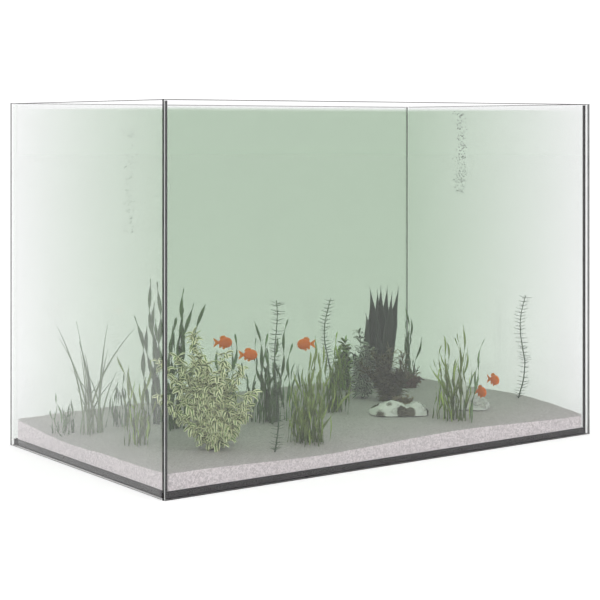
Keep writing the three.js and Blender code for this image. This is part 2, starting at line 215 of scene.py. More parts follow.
def pane_glass(name, face_axis, left_tone, other_tone, chamfer_tone, frosting):
    """Clear float glass. Its faces stand across face_axis. Its narrow sides are as dark as the
    silicone that shows through them: left_tone on the left, and other_tone on the others. Its
    chamfers have the tint chamfer_tone, and the upright ones are frosted by the share frosting, so
    that they catch the light. The tones are grey display values."""
    straight = 0.9      # the least part of a normal that runs straight along an axis
    aside = 0.3         # the most part of a normal that stands aside from it
    look = Look(name)
    normal = look.node("NewGeometry").outputs["True Normal"]
    parts = look.node("SeparateXYZ", {"Vector": normal}).outputs
    faceness = look.math("ABSOLUTE", parts[face_axis])
    is_face = look.math("GREATER_THAN", faceness, straight)
    is_side = look.math("LESS_THAN", faceness, aside)
    is_chamfer = look.math("SUBTRACT", 1.0, look.math("ADD", is_face, is_side))
    is_upright = look.math("LESS_THAN", look.math("ABSOLUTE", parts[2]), aside)
    is_rim = look.math("GREATER_THAN", parts[2], aside)
    is_under = look.math("MULTIPLY", is_chamfer, look.math("LESS_THAN", parts[2], -aside))
    is_left = look.math("LESS_THAN", parts[0], -straight)
    wear = look.spread(look.noise(60, 3), 0.3, 0.7, 0.0, 0.08)
    side_tint = look.mix(is_left, grey(other_tone), grey(left_tone))
    side_tint = look.mix(wear, side_tint, grey(255))
    tint = look.mix(is_face, side_tint, srgb(246.3, 246.6, 246.6))
    tint = look.mix(is_chamfer, tint, grey(chamfer_tone))
    tint = look.mix(is_rim, tint, srgb(250, 251, 251))
    tint = look.mix(is_under, tint, srgb(120, 116, 118))
    clear = look.node("BsdfTransparent", {"Color": tint})
    smear = look.spread(look.noise(14, 3, 0.5), 0.3, 0.7, 0.0, 0.03)
    gloss = look.node("BsdfGlossy", {"Color": (1, 1, 1, 1), "Roughness": smear})
    mirrored = look.math("MULTIPLY", mirror_share(look), is_face)
    polished = look.blend(mirrored, clear, gloss)
    frost = look.node("BsdfPrincipled", {
        "Base Color": look.mix(look.noise(60, 3), srgb(220, 222, 221), srgb(240, 241, 240)),
        "Roughness": 0.4,
    })
    frosted = look.math("MULTIPLY", look.math("MULTIPLY", is_chamfer, is_upright), frosting)
    return look.finish(look.blend(frosted, polished, frost).outputs[0])


def silicone():
    """Black silicone, with a faint sheen."""
    look = Look("black_silicone")
    grain = look.noise(180, 3)
    color = look.mix(grain, srgb(20, 13, 18), srgb(40, 31, 37))
    shader = look.node("BsdfPrincipled", {
        "Base Color": color,
        "Roughness": look.spread(grain, 0.3, 0.7, 0.42, 0.6),
        "Specular IOR Level": 0.1,
        "Normal": look.bump(look.noise(90, 2), 0.25, 0.3 * MM),
    })
    return look.finish(shader.outputs[0])


def clear_silicone():
    """Clear silicone, with a trace of haze."""
    look = Look("clear_silicone")
    haze = look.noise(120, 3)
    body = look.node("BsdfPrincipled", {
        "Base Color": look.mix(haze, srgb(176, 186, 178), srgb(206, 214, 208)),
        "Roughness": look.spread(haze, 0.3, 0.7, 0.35, 0.5),
    })
    clear = look.node("BsdfTransparent", {"Color": srgb(253, 254, 253)})
    return look.finish(look.blend(0.02, clear, body).outputs[0])


def water():
    """Water, which is only seen by how it soaks up light: slightly green where it is deep."""
    look = Look("water")
    surface = look.node("BsdfPrincipled", {
        "Base Color": (1, 1, 1, 1),
        "Roughness": 0.0,
        "IOR": 1.0,
        "Transmission Weight": 1.0,
    })
    soak = look.node("VolumeAbsorption", {"Color": (0.1435, 0.4135, 0.1135, 1.0), "Density": 2.0})
    return look.finish(surface.outputs[0], soak.outputs[0])


def sand():
    """Pinkish grey sand: fine grains of several tones over slow patches, with a grainy bump. Its top is
    painted darker than its upright sides against the glass, as painted shade."""
    look = Look("sand")
    normal = look.node("NewGeometry").outputs["True Normal"]
    is_top = look.spread(look.node("SeparateXYZ", {"Vector": normal}).outputs[2], 0.3, 0.7)
    grains = look.node("TexVoronoi", {"Vector": look.place(), "Scale": 750.0}).outputs["Color"]
    tone = look.node("SeparateColor", {"Color": grains}).outputs[0]
    patches = look.noise(22, 4, 0.6)
    speckle = look.noise(420, 2, 0.7)
    # Painted light and shade: the upright sides get a paler sand colour than the top.
    lit_side_sand = look.mix(look.spread(tone, 0.1, 0.9), srgb(202, 193, 196), srgb(242, 233, 235))
    light = look.mix(patches, srgb(214, 205, 209), srgb(204, 195, 198))
    dark = look.mix(patches, srgb(188, 178, 183), srgb(178, 168, 172))
    shaded_top_sand = look.mix(look.spread(tone, 0.1, 0.9), dark, light)
    color = look.mix(is_top, lit_side_sand, shaded_top_sand)
    color = look.mix(look.spread(speckle, 0.62, 0.75), color, srgb(226, 218, 221))
    height = look.math("ADD", tone, speckle)
    shader = look.node("BsdfPrincipled", {
        "Base Color": color,
        "Roughness": look.spread(tone, 0, 1, 0.8, 0.98),
        "Specular IOR Level": 0.2,
        "Normal": look.bump(height, 0.5, 0.5 * MM),
    })
    return look.finish(shader.outputs[0])


def leaf(name, base, tip, rim_color, rim_from=0.75, rim_to=0.95, contrast=0.3):
    """A leaf from its base colour to its tip colour, with a fine vein pattern and an edge colour. Where
    the base colour is the darker one, the darker base is partly the leaf's own colour and partly painted
    shade low in the plant. Leaves of high tone are lighter and leaves of low tone darker, by the share
    contrast."""
    look = Look(name)
    along = look.attribute("along")
    tone = look.attribute("tone")
    edge = look.attribute("edge")
    blotch = look.noise(130, 4, 0.6)
    # Partly painted shade: a darker base colour darkens the leaf low in the plant.
    green = look.mix(look.spread(along, 0.15, 0.85), srgb(*base), srgb(*tip))
    dull = look.math("MULTIPLY_ADD", blotch, 0.5, look.math("MULTIPLY", tone, 0.35))
    green = look.mix(look.spread(dull, 0.2, 0.75, 0.0, 0.5), green, toned(base, 0.75))
    green = look.mix(look.spread(tone, 0.3, 0.0, 0.0, contrast), green, toned(base, 0.5))
    green = look.mix(look.spread(tone, 0.7, 1.0, 0.0, 2 * contrast), green, toned(tip, 1.35))
    color = look.mix(look.spread(edge, rim_from, rim_to), green, srgb(*rim_color))
    veins = look.noise(700, 2)
    shader = look.node("BsdfPrincipled", {
        "Base Color": color,
        "Roughness": look.spread(blotch, 0.3, 0.7, 0.37, 0.57),
        "Specular IOR Level": 0.3,
        "Normal": look.bump(veins, 0.2, 0.2 * MM),
    })
    return look.finish(shader.outputs[0])


# The spotted stone's brown patches, in millimetres: how far each one's centre is across and away
# from the stone's middle by fan_step, and up from the stone's foot, and how far the patch reaches.
PATCHES = [(-30, 4, 12, 8), (-21, -13, 1, 8), (8, -16, 5, 12), (35, -4, 3, 6), (-12, -10, 16, 5)]


def spotted_rock():
    """A pale weathered stone with a few large brown patches, whose borders wander."""
    wander = 6 * MM
    border = 1.5
    look = Look("spotted_rock")
    low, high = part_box("spotted_stone")
    swirl = look.node("TexNoise", {"Scale": 55.0, "Detail": 2.0}).outputs["Color"]
    swirl = look.vector("SUBTRACT", swirl, (0.5, 0.5, 0.5))[0]
    moved = look.vector("MULTIPLY_ADD", swirl, (wander, wander, wander), look.place())[0]
    patch = 0.0
    for across, away, up, reach in PATCHES:
        centre = (low + high) / 2 + fan_step(across, away) * MM
        centre.z = low.z + up * MM
        gone = look.vector("DISTANCE", moved, centre)["Value"]
        patch = look.math("MAXIMUM", patch, look.spread(gone, reach * MM, (reach - border) * MM))
    grain = look.noise(260, 5, 0.65)
    pale = look.mix(look.noise(45, 4), srgb(255, 250, 251), srgb(240, 238, 238))
    pale = look.mix(look.spread(grain, 0.6, 0.8, 0.0, 0.3), pale, srgb(220, 221, 218))
    brown = look.mix(grain, srgb(92, 84, 76), srgb(128, 118, 106))
    shader = look.node("BsdfPrincipled", {
        "Base Color": look.mix(patch, pale, brown),
        "Roughness": look.spread(grain, 0.2, 0.8, 0.6, 0.9),
        "Normal": look.bump(grain, 0.5, 0.6 * MM),
    })
    return look.finish(shader.outputs[0])


def pale_rock():
    """A chalky white stone, greyer in its pits."""
    look = Look("pale_rock")
    grain = look.noise(200, 5, 0.65)
    cloud = look.noise(50, 4)
    pale = look.mix(cloud, srgb(255, 252, 252), srgb(238, 238, 238))
    shader = look.node("BsdfPrincipled", {
        "Base Color": look.mix(look.spread(grain, 0.55, 0.8, 0.0, 0.3), pale, srgb(210, 210, 208)),
        "Roughness": look.spread(grain, 0.2, 0.8, 0.65, 0.9),
        "Normal": look.bump(grain, 0.6, 0.8 * MM),
    })
    return look.finish(shader.outputs[0])


def fish_skin():
    """Orange scales, with paler fins towards their edges."""
    look = Look("fish_skin")
    scales = look.node("TexVoronoi", {"Vector": look.place(), "Scale": 900.0}, feature="DISTANCE_TO_EDGE")
    seam = look.spread(scales.outputs["Distance"], 0.02, 0.2)
    back = look.mix(look.noise(150, 3), srgb(255, 136, 0), srgb(236, 100, 0))
    fin = look.mix(look.attribute("edge"), back, srgb(252, 144, 30))
    color = look.mix(look.attribute("eye"), fin, srgb(34, 24, 20))
    shader = look.node("BsdfPrincipled", {
        "Base Color": color,
        "Roughness": look.spread(seam, 0, 1, 0.6, 0.48),
        "Specular IOR Level": 0.08,
        "Normal": look.bump(seam, 0.25, 0.15 * MM),
    })
    return look.finish(shader.outputs[0])


def bubble_skin():
    """An air bubble: clear in its middle, with a painted grey ring of shade where its skin is seen edge
    on.
    """
    look = Look("bubble_skin")
    edge_on = look.node("LayerWeight", {"Blend": 0.5}).outputs["Facing"]
    clear = look.node("BsdfTransparent", {"Color": (1, 1, 1, 1)})
    # Painted shade: a grey ring where the bubble is seen edge on.
    ring = look.node("BsdfPrincipled", {
        "Base Color": look.mix(look.noise(500, 2), srgb(104, 114, 106), srgb(150, 160, 152)),
        "Roughness": 0.2,
    })
    return look.finish(look.blend(look.spread(edge_on, 0, 1, 0.25, 0.9), clear, ring).outputs[0])


# ---------------------------------------------------------------- meshes

class Growth:
    """Leaves, needles and stems gathered into one mesh, with what the leaf material needs to know
    of each point: how far along its leaf it is, how near the leaf's edge, and the leaf's own tone."""

    def __init__(self):
        self.points = []
        self.faces = []
        self.marks = {"along": [], "edge": [], "tone": []}

    def add_ring(self, corners, edges, along, tone):
        self.points.extend(corners)
        self.marks["edge"].extend(edges)
        self.marks["along"].extend([along] * len(corners))
        self.marks["tone"].extend([tone] * len(corners))

    def close_rings(self, first, sides, rings):
        """Joins the rings that were added since the point first, and closes both ends."""
        for ring in range(rings - 1):
            low = first + ring * sides
            for side in range(sides):
                after = (side + 1) % sides
                self.faces.append((low + side, low + after, low + sides + after, low + sides + side))
        self.faces.append(tuple(first + side for side in reversed(range(sides))))
        last = first + (rings - 1) * sides
        self.faces.append(tuple(last + side for side in range(sides)))

    def blade(self, path, width, thickness, across, tone):
        """A leaf along path. width(t) is its width, and across(t) the direction of that width."""
        first = len(self.points)
        count = len(path)
        for i, point in enumerate(path):
            t = i / (count - 1)
            tangent = (path[min(i + 1, count - 1)] - path[max(i - 1, 0)]).normalized()
            wide = across(t)
            wide = (wide - tangent * wide.dot(tangent)).normalized()
            thick = tangent.cross(wide) * (thickness / 2)
            wide = wide * (width(t) / 2)
            corners = [point + wide, point + thick, point - wide, point - thick]
            self.add_ring(corners, [1, 0, 1, 0], t, tone)
        self.close_rings(first, 4, count)

    def stem(self, path, radius, tone, sides=6):
        """A round stem along path. radius(t) is its radius."""
        first = len(self.points)
        count = len(path)
        side_way = Vector((1, 0.3, 0.1))
        for i, point in enumerate(path):
            t = i / (count - 1)
            tangent = (path[min(i + 1, count - 1)] - path[max(i - 1, 0)]).normalized()
            out = (side_way - tangent * side_way.dot(tangent)).normalized()
            round_way = tangent.cross(out)
            angles = [2 * math.pi * side / sides for side in range(sides)]
            corners = [point + (out * math.cos(a) + round_way * math.sin(a)) * radius(t) for a in angles]
            self.add_ring(corners, [0.3] * sides, t, tone)
        self.close_rings(first, sides, count)

    def build(self, name, material):
        data = bpy.data.meshes.new(name)
        data.from_pydata(self.points, [], self.faces)
        mark_points(data, self.marks)
        return place_mesh(name, data, material)


def mark_points(data, marks):
    """Gives the mesh's points the values that its material reads by name."""
    for mark, values in marks.items():
        data.attributes.new(mark, "FLOAT", "POINT").data.foreach_set("value", values)


def bake(name, mesh):
    """A finished bmesh as mesh data."""
    data = bpy.data.meshes.new(name)
    mesh.to_mesh(data)
    mesh.free()
    return data


def place_mesh(name, data, material, smooth_below=40):
    """The mesh data as an object of the scene, smooth over edges that bend by fewer degrees."""
    data.shade_smooth()
    data.set_sharp_from_angle(angle=math.radians(smooth_below))
    data.materials.append(material)
    made = bpy.data.objects.new(name, data)
    bpy.context.scene.collection.objects.link(made)
    return made


def stand_for(piece, node, body=TANK):
    """piece is shown instead of that CAD node, and moves as it does."""
    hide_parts(node)
    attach(piece, body)


def cad_points(node):
    return [vertex.co.copy() for vertex in frame["nodes"][node].data.vertices]


def root_of(node):
    """Where a plant comes out of the sand: the middle of its crown's foot."""
    points = cad_points(node)
    low = min(point.z for point in points)
    foot = [point for point in points if point.z < low + 0.5 * MM]
    return sum(foot, Vector()) / len(foot)


def summits(node):
    """The tips of a CAD plant: the points that stand higher than all their neighbours."""
    least_height = 8 * MM
    least_gap = 5 * MM
    made = bmesh.new()
    made.from_mesh(frame["nodes"][node].data)
    bmesh.ops.remove_doubles(made, verts=made.verts, dist=0.01 * MM)
    low = min(vertex.co.z for vertex in made.verts)
    found = []
    for vertex in sorted(made.verts, key=lambda v: -v.co.z):
        beside = [edge.other_vert(vertex).co.z for edge in vertex.link_edges]
        is_peak = vertex.co.z >= max(beside) and vertex.co.z > low + least_height
        if is_peak and all((vertex.co - other).length > least_gap for other in found):
            found.append(vertex.co.copy())
    made.free()
    return found


def spine(node, slices):
    """The middle line of an upright CAD plant, from its root to its top."""
    points = cad_points(node)
    low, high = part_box(node)
    reach = (high.z - low.z) / slices
    line = [root_of(node)]
    for step in range(1, slices):
        level = low.z + (high.z - low.z) * step / slices
        near = [point for point in points if abs(point.z - level) < reach]
        if near:
            line.append(sum(near, Vector()) / len(near))
    line.append(max(points, key=lambda point: point.z))
    return line


def smooth_line(points, count):
    """count points along a smooth curve through the given ones."""
    line = []
    spans = len(points) - 1
    for i in range(count):
        place = i / (count - 1) * spans
        span = min(int(place), spans - 1)
        t = place - span
        before = points[max(span - 1, 0)]
        start = points[span]
        end = points[span + 1]
        after = points[min(span + 2, spans)]
        line.append(0.5 * (2 * start + (end - before) * t
                           + (2 * before - 5 * start + 4 * end - after) * t ** 2
                           + (3 * start - before - 3 * end + after) * t ** 3))
    return line


def lean(foot, tip, bow, count, sway=0.0, phase=0.0):
    """From the foot upwards, then leaning out to the tip: the higher bow is, the later. The line
    sways to and fro on the way."""
    sway_waves = 1.6
    middle = Vector((
        foot.x + (tip.x - foot.x) * (0.5 - bow),
        foot.y + (tip.y - foot.y) * (0.5 - bow),
        foot.z + (tip.z - foot.z) * 0.55,
    ))
    aside = fan_step(1, 0.4)
    line = []
    for i in range(count):
        t = i / (count - 1)
        point = foot * (1 - t) ** 2 + middle * (2 * t * (1 - t)) + tip * t ** 2
        wave = math.sin(2 * math.pi * sway_waves * t + phase)
        line.append(point + aside * (sway * t * (1 - 0.5 * t) * wave))
    return line


# ---------------------------------------------------------------- panes and seams

def dress_frame():
    """The panes and seams keep their CAD shapes and get their own materials."""
    front = pane_glass("glass_front_pane", 1, 100, 110, 232, 0.5)
    rear = pane_glass("glass_rear_pane", 1, 120, 254, 254, 0.02)
    side = pane_glass("glass_side_panes", 0, 254, 254, 254, 0.02)
    flat = pane_glass("glass_base_pane", 2, 200, 200, 232, 0.1)
    black = silicone()
    clear = clear_silicone()
    looks = {
        "front_pane": front,
        "rear_pane": rear,
        "left_pane": side,
        "right_pane": side,
        "base_pane": flat,
        "corner_seam_rear_left": clear,
        "corner_seam_rear_right": clear,
    }
    for node, piece in frame["nodes"].items():
        if "seam" in node or "pane" in node:
            piece.data.materials.clear()
            piece.data.materials.append(looks.get(node, black))


# ---------------------------------------------------------------- sand and water

def make_sand():
    """The sand bed: a fine grid over the whole floor, closed by its sides and underside, and cut
    back where the silicone beads run."""
    half_x = inner_x - sand_clear
    half_y = inner_y - sand_clear
    step = 2.5 * MM
    corner_cut = 4 * MM
    tuck = 4 * MM
    across = round(2 * half_x / step)
    away = round(2 * half_y / step)
    mesh = bmesh.new()

    def inside(x, y):
        """Moves a point out of the way of the corner's silicone."""
        room = (half_x - abs(x)) + (half_y - abs(y))
        push = max(0.0, corner_cut - room) / 2
        return x - math.copysign(push, x), y - math.copysign(push, y)

    rows = []
    for j in range(away + 1):
        row = []
        for i in range(across + 1):
            x, y = inside(-half_x + 2 * half_x * i / across, -half_y + 2 * half_y * j / away)
            rough = noise.fractal(Vector((x, y, 0)) * 60, 1.0, 2.0, 4) * 0.5 * MM
            grain = noise.noise(Vector((x, y, 0)) * 900) * 0.2 * MM
            row.append(mesh.verts.new((x, y, sand_height(x, y) + rough + grain)))
        rows.append(row)
    for j in range(away):
        for i in range(across):
            mesh.faces.new((rows[j][i], rows[j][i + 1], rows[j + 1][i + 1], rows[j + 1][i]))

    right_side = [row[-1] for row in rows[1:]]
    left_side = [row[0] for row in rows[-2:0:-1]]
    edge = rows[0] + right_side + rows[-1][-2::-1] + left_side
    shelf = bead_top + sand_clear

    def lower(ring, level, inset):
        """Adds a wall from the ring down, or in, to a new ring at that level and inset."""
        made = []
        for vertex in ring:
            x = max(-half_x + inset, min(half_x - inset, vertex.co.x))
            y = max(-half_y + inset, min(half_y - inset, vertex.co.y))
            made.append(mesh.verts.new((x, y, level)))
        for k, vertex in enumerate(ring):
            after = (k + 1) % len(ring)
            mesh.faces.new((vertex, made[k], made[after], ring[after]))
        return made

    side = lower(edge, shelf, 0)
    under = lower(side, shelf, tuck)
    foot = lower(under, base_top + sand_clear, tuck)
    mesh.faces.new(foot)
    bmesh.ops.recalc_face_normals(mesh, faces=mesh.faces)
    bmesh.ops.remove_doubles(mesh, verts=mesh.verts, dist=0.001 * MM)
    data = bake("sand", mesh)
    stand_for(place_mesh("sand", data, sand(), smooth_below=60), "sand_bed")


def make_water():
    """The body of water, from just above the base pane up to the water level."""
    low = Vector((-inner_x + water_clear, -inner_y + water_clear, base_top + water_clear))
    high = Vector((inner_x - water_clear, inner_y - water_clear, water_level))
    mesh = bmesh.new()
    bmesh.ops.create_cube(mesh, size=1)
    for vertex in mesh.verts:
        share = vertex.co + Vector((0.5, 0.5, 0.5))
        vertex.co = Vector(low[axis] + (high[axis] - low[axis]) * share[axis] for axis in range(3))
    piece = place_mesh("water", bake("water", mesh), water())
    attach(piece, TANK)


def make_bubbles():
    """Two thin columns of rising bubbles, which wind a little. Places and heights are millimetres."""
    spread = 4.0
    wind = 2.0
    wind_length = 17
    material = bubble_skin()
    # Each column's name, place, lowest and highest bubble, and how many bubbles.
    columns = [
        ("bubbles_right", (180, -75), (290, 392), 210),
        ("bubbles_left", (-200, 70), (250, 370), 90),
    ]
    for name, (x, y), (low, high), count in columns:
        chance = random.Random(name)
        mesh = bmesh.new()
        for _ in range(count):
            up = low + (high - low) * chance.random()
            drift = wind * math.sin(up / wind_length)
            centre = Vector((x + drift + chance.gauss(0, spread), y + chance.gauss(0, spread), up)) * MM
            radius = chance.uniform(0.45, 0.95) * MM
            centre.z = min(centre.z, water_level - 2 * radius)
            place = Matrix.Translation(centre)
            bmesh.ops.create_icosphere(mesh, subdivisions=1, radius=radius, matrix=place)
        data = bake(name, mesh)
        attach(place_mesh(name, data, material, smooth_below=180), TANK)


# ---------------------------------------------------------------- stones

def make_stone(node, material, dents):
    """The CAD stone, rebuilt with a fine skin, worn smooth and dented by noise. Its foot keeps its
    shape, and the noise sets in above it."""
    foot_height = 4 * MM
    pits = 0.15 * MM
    source = frame["nodes"][node].data.copy()
    source.materials.clear()
    draft = bpy.data.objects.new("draft", source)
    bpy.context.scene.collection.objects.link(draft)
    remesh = draft.modifiers.new("skin", "REMESH")
    remesh.mode = "VOXEL"
    remesh.voxel_size = 0.8 * MM
    soften = draft.modifiers.new("wear", "SMOOTH")
    soften.iterations = 5
    soften.factor = 0.6
    graph = bpy.context.evaluated_depsgraph_get()
    skin = bpy.data.meshes.new_from_object(draft.evaluated_get(graph))
    skin.name = node + "_skin"
    bpy.data.objects.remove(draft)
    low = min(vertex.co.z for vertex in skin.vertices)
    for vertex in skin.vertices:
        lift = min(1.0, (vertex.co.z - low) / foot_height)
        ridge = noise.fractal(vertex.co * 45, 1.0, 2.0, 5)
        pit = noise.noise(vertex.co * 320)
        vertex.co += vertex.normal * (dents * ridge + pits * pit - dents * 0.5) * lift
    piece = place_mesh(node + "_skin", skin, material, smooth_below=50)
    stand_for(piece, node)


# ---------------------------------------------------------------- tape grass

def tape_blade(growth, foot, tip, wide, turns, chance):
    """One twisted ribbon: narrow at the foot, widest above the middle, with a blunt tip."""
    start = chance.uniform(0, 2 * math.pi)
    phase = chance.uniform(0, 2 * math.pi)
    length = (tip - foot).length
    sway = min(4.5 * MM, 0.05 * length)
    points = max(14, int(length / (3.2 * MM)))
    path = lean(foot, tip, 0.22, points, sway, phase)

    def width(t):
        bulge = wide * (0.4 + 0.75 * math.sin(math.pi * min(1.0, 0.12 + 0.74 * t)))
        return bulge * min(1.0, 0.15 + (20 * (1 - t)) ** 0.5)

    def across(t):
        return fan_way(start + turns * 2 * math.pi * t)

    growth.blade(path, width, 0.22 * wide, across, chance.random())


def make_tape_grass(node, material, wide, fill, twist, reach):
    """A clump of tape grass: one ribbon to each CAD tip, and as many thinner, shorter ones beside
    them as fill says. The feet stand in a patch, mostly within reach of the root. A ribbon makes
    twist turns over each twist_height."""
    twist_height = 50 * MM
    chance = random.Random(node)
    root = root_of(node)
    tips = summits(node)
    growth = Growth()

    def ribbon(foot, tip, width):
        set_in_sand(foot)
        turns = twist * (tip.z - foot.z) / twist_height
        tape_blade(growth, foot, tip, width, turns, chance)

    for tip in tips:
        aside = Vector((tip.x - root.x, tip.y - root.y, 0)) * 0.35
        jitter = fan_step(chance.gauss(0, reach / 4), chance.gauss(0, reach / 4))
        ribbon(root + aside + jitter, tip, wide)
    for _ in range(fill):
        foot = root + fan_step(chance.gauss(0, 0.6 * reach), chance.gauss(0, 0.45 * reach))
        target = min(tips, key=lambda tip: (tip - foot).xy.length * chance.uniform(0.4, 1.6))
        part = chance.uniform(0.25, 0.95)
        tip = foot.lerp(target, part * 0.7) + fan_step(chance.gauss(0, reach * 0.25), 0)
        tip.z = root.z + (target.z - root.z) * part
        ribbon(foot, tip, wide * chance.uniform(0.45, 0.9))
    stand_for(growth.build(node + "_blades", material), node)


def make_tape_grasses():
    """The tape grass clumps: each one's material, width and fill of ribbons, twist and reach."""
    deep = leaf("tape_grass_deep", (92, 112, 74), (102, 128, 84), (84, 106, 74))
    fresh = leaf("tape_grass_fresh", (100, 116, 66), (146, 166, 88), (104, 124, 68), contrast=0.45)
    clumps = {
        "tape_grass_low_left": (deep, 2.0, 18, 1.0, 16),
        "tape_grass_low_middle": (deep, 2.2, 16, 1.0, 12),
        "tape_grass_near_left": (fresh, 2.6, 22, 0.9, 13),
        "tape_grass_tall_left": (deep, 4.6, 6, 0.75, 11),
        "tape_grass_tall_middle": (deep, 4.6, 7, 0.75, 13),
        "tape_grass_behind_bush": (deep, 3.4, 8, 0.8, 10),
        "tape_grass_middle": (deep, 3.1, 40, 0.85, 19),
        "tape_grass_front": (fresh, 2.5, 66, 0.8, 18),
        "tape_grass_centre": (fresh, 2.5, 32, 0.8, 13),
        "tape_grass_rear_right": (deep, 2.8, 9, 0.8, 8),
        "tape_grass_right": (fresh, 2.5, 34, 0.8, 20),
        "tape_grass_by_stone": (deep, 2.2, 1, 0.8, 2),
    }
    for node, (material, wide, fill, twist, reach) in clumps.items():
        make_tape_grass(node, material, wide * MM, fill, twist, reach * MM)


# ---------------------------------------------------------------- other plants

def make_curved_grass():
    """Thin grass blades that arch out from one root, long ones to the CAD tips and shorter ones."""
    node = "curved_grass"
    chance = random.Random(node)
    material = leaf("curved_grass", (152, 162, 130), (120, 138, 110), (96, 112, 90), 0.6, 0.95)
    root = root_of(node)
    tips = summits(node)
    growth = Growth()

    def width(t):
        return 2.4 * MM * (1 - 0.85 * t ** 2) * min(1.0, 0.6 + t)

    shorter = []
    for _ in range(2 * len(tips)):
        shorter.append(root + (chance.choice(tips) - root) * chance.uniform(0.3, 0.85))
    for tip in tips + shorter:
        jitter = fan_step(chance.gauss(0, 6), chance.gauss(0, 4)) * MM
        foot = root + (tip - root) * 0.1 + jitter
        set_in_sand(foot)
        way = fan_way(chance.uniform(-0.7, 0.7))
        path = lean(foot, tip, 0.42, 30)
        growth.blade(path, width, 0.7 * MM, lambda t: way, chance.random())
    stand_for(growth.build(node + "_blades", material), node)


def leaflet(growth, start, out, length, wide, bend, chance):
    """A small leaf from start that sets off along out and bends over towards the ground."""
    count = 8
    axis = out.cross(Vector((0, 0, -1))).normalized()
    step = length / (count - 1)
    point = start.copy()
    path = [start.copy()]
    for i in range(1, count):
        heading = Matrix.Rotation(bend * (i - 0.5) / (count - 1), 3, axis) @ out
        point = point + heading * step
        path.append(point.copy())
    way = axis + Vector((0, 0, chance.uniform(-1.2, 1.2)))
    growth.blade(path, lambda t: wide * (0.3 + 0.7 * math.sin(math.pi * (0.08 + 0.84 * t))),
                 0.2 * wide, lambda t: way, chance.random())


def make_leafy(node, material, size, every, per_ring, climb, bend, extra,
               bare=0.05, rise=1.0, spread=1.0):
    """A leafy plant: a stem to each CAD tip and extra ones between them, with rings of small leaves
    above its bare foot. size is a leaf's length and width, and every is the way from ring to ring,
    in millimetres. The leaves set off climbing and bend over, by angles in degrees. The leaf mass
    stands rise times as high and spread times as wide as the CAD tips."""
    length, wide = (value * MM for value in size)
    chance = random.Random(node)
    root = root_of(node)
    tips = [root + (tip - root) * Vector((spread, spread, rise)) for tip in summits(node)]
    growth = Growth()
    for _ in range(extra):
        first = chance.choice(tips)
        second = chance.choice(tips)
        tips.append(root + ((first + second) / 2 - root) * chance.uniform(0.65, 1.0))
    for tip in tips:
        foot = root + (tip - root) * 0.05
        set_in_sand(foot)
        path = lean(foot, tip, 0.1, 18, 2.5 * MM, chance.uniform(0, 6))
        growth.stem(path, lambda t: (0.9 - 0.5 * t) * MM, chance.random(), sides=5)
        rings = max(3, int((tip - foot).length / (every * MM)))
        for ring in range(rings):
            t = bare + (1 - bare) * (ring + 0.6) / rings
            place = t * (len(path) - 1)
            low = min(int(place), len(path) - 2)
            start = path[low].lerp(path[low + 1], place - low)
            turn = chance.uniform(0, 2 * math.pi)
            for step in range(per_ring):
                around = turn + 2 * math.pi * step / per_ring + chance.uniform(-0.4, 0.4)
                up = math.radians(climb * chance.uniform(-0.1, 1.6))
                level = math.cos(up)
                out = Vector((math.cos(around) * level, math.sin(around) * level, math.sin(up)))
                reach = length * chance.uniform(0.7, 1.15) * (1.0 - 0.3 * t)
                over = math.radians(bend * chance.uniform(0.2, 1.4))
                leaflet(growth, start, out, reach, wide, over, chance)
    stand_for(growth.build(node + "_leaves", material), node)


def make_reeds():
    """Broad dark leaves that stand in a fan and run out to long thin points. The one furthest left
    is the widest."""
    node = "dark_reeds"
    shoulder = 0.6
    chance = random.Random(node)
    material = leaf("dark_reeds", (68, 70, 60), (76, 84, 74), (96, 104, 92), 0.7, 1.0, contrast=0.45)
    root = root_of(node)
    growth = Growth()
    tips = summits(node)
    left_most = min(tips, key=lambda tip: (spread_turn.inverted() @ tip).x)
    shorter = [root + (tip - root) * chance.uniform(0.6, 0.8) for tip in tips]
    for tip in tips + shorter:
        foot = root + (tip - root) * 0.25
        set_in_sand(foot)
        way = fan_way(chance.uniform(-0.5, 0.5))
        wide = (22 if tip is left_most else chance.uniform(13, 17)) * MM

        def width(t):
            if t < shoulder:
                return wide * (0.45 + 0.55 * math.sin(math.pi / 2 * t / shoulder))
            return wide * max(0.03, (1 - (t - shoulder) / (1 - shoulder)) ** 1.5)

        path = lean(foot, tip, 0.15, 26, 1.0 * MM, chance.uniform(0, 6))
        growth.blade(path, width, 0.8 * MM, lambda t: way, chance.random())
    stand_for(growth.build(node + "_leaves", material), node)


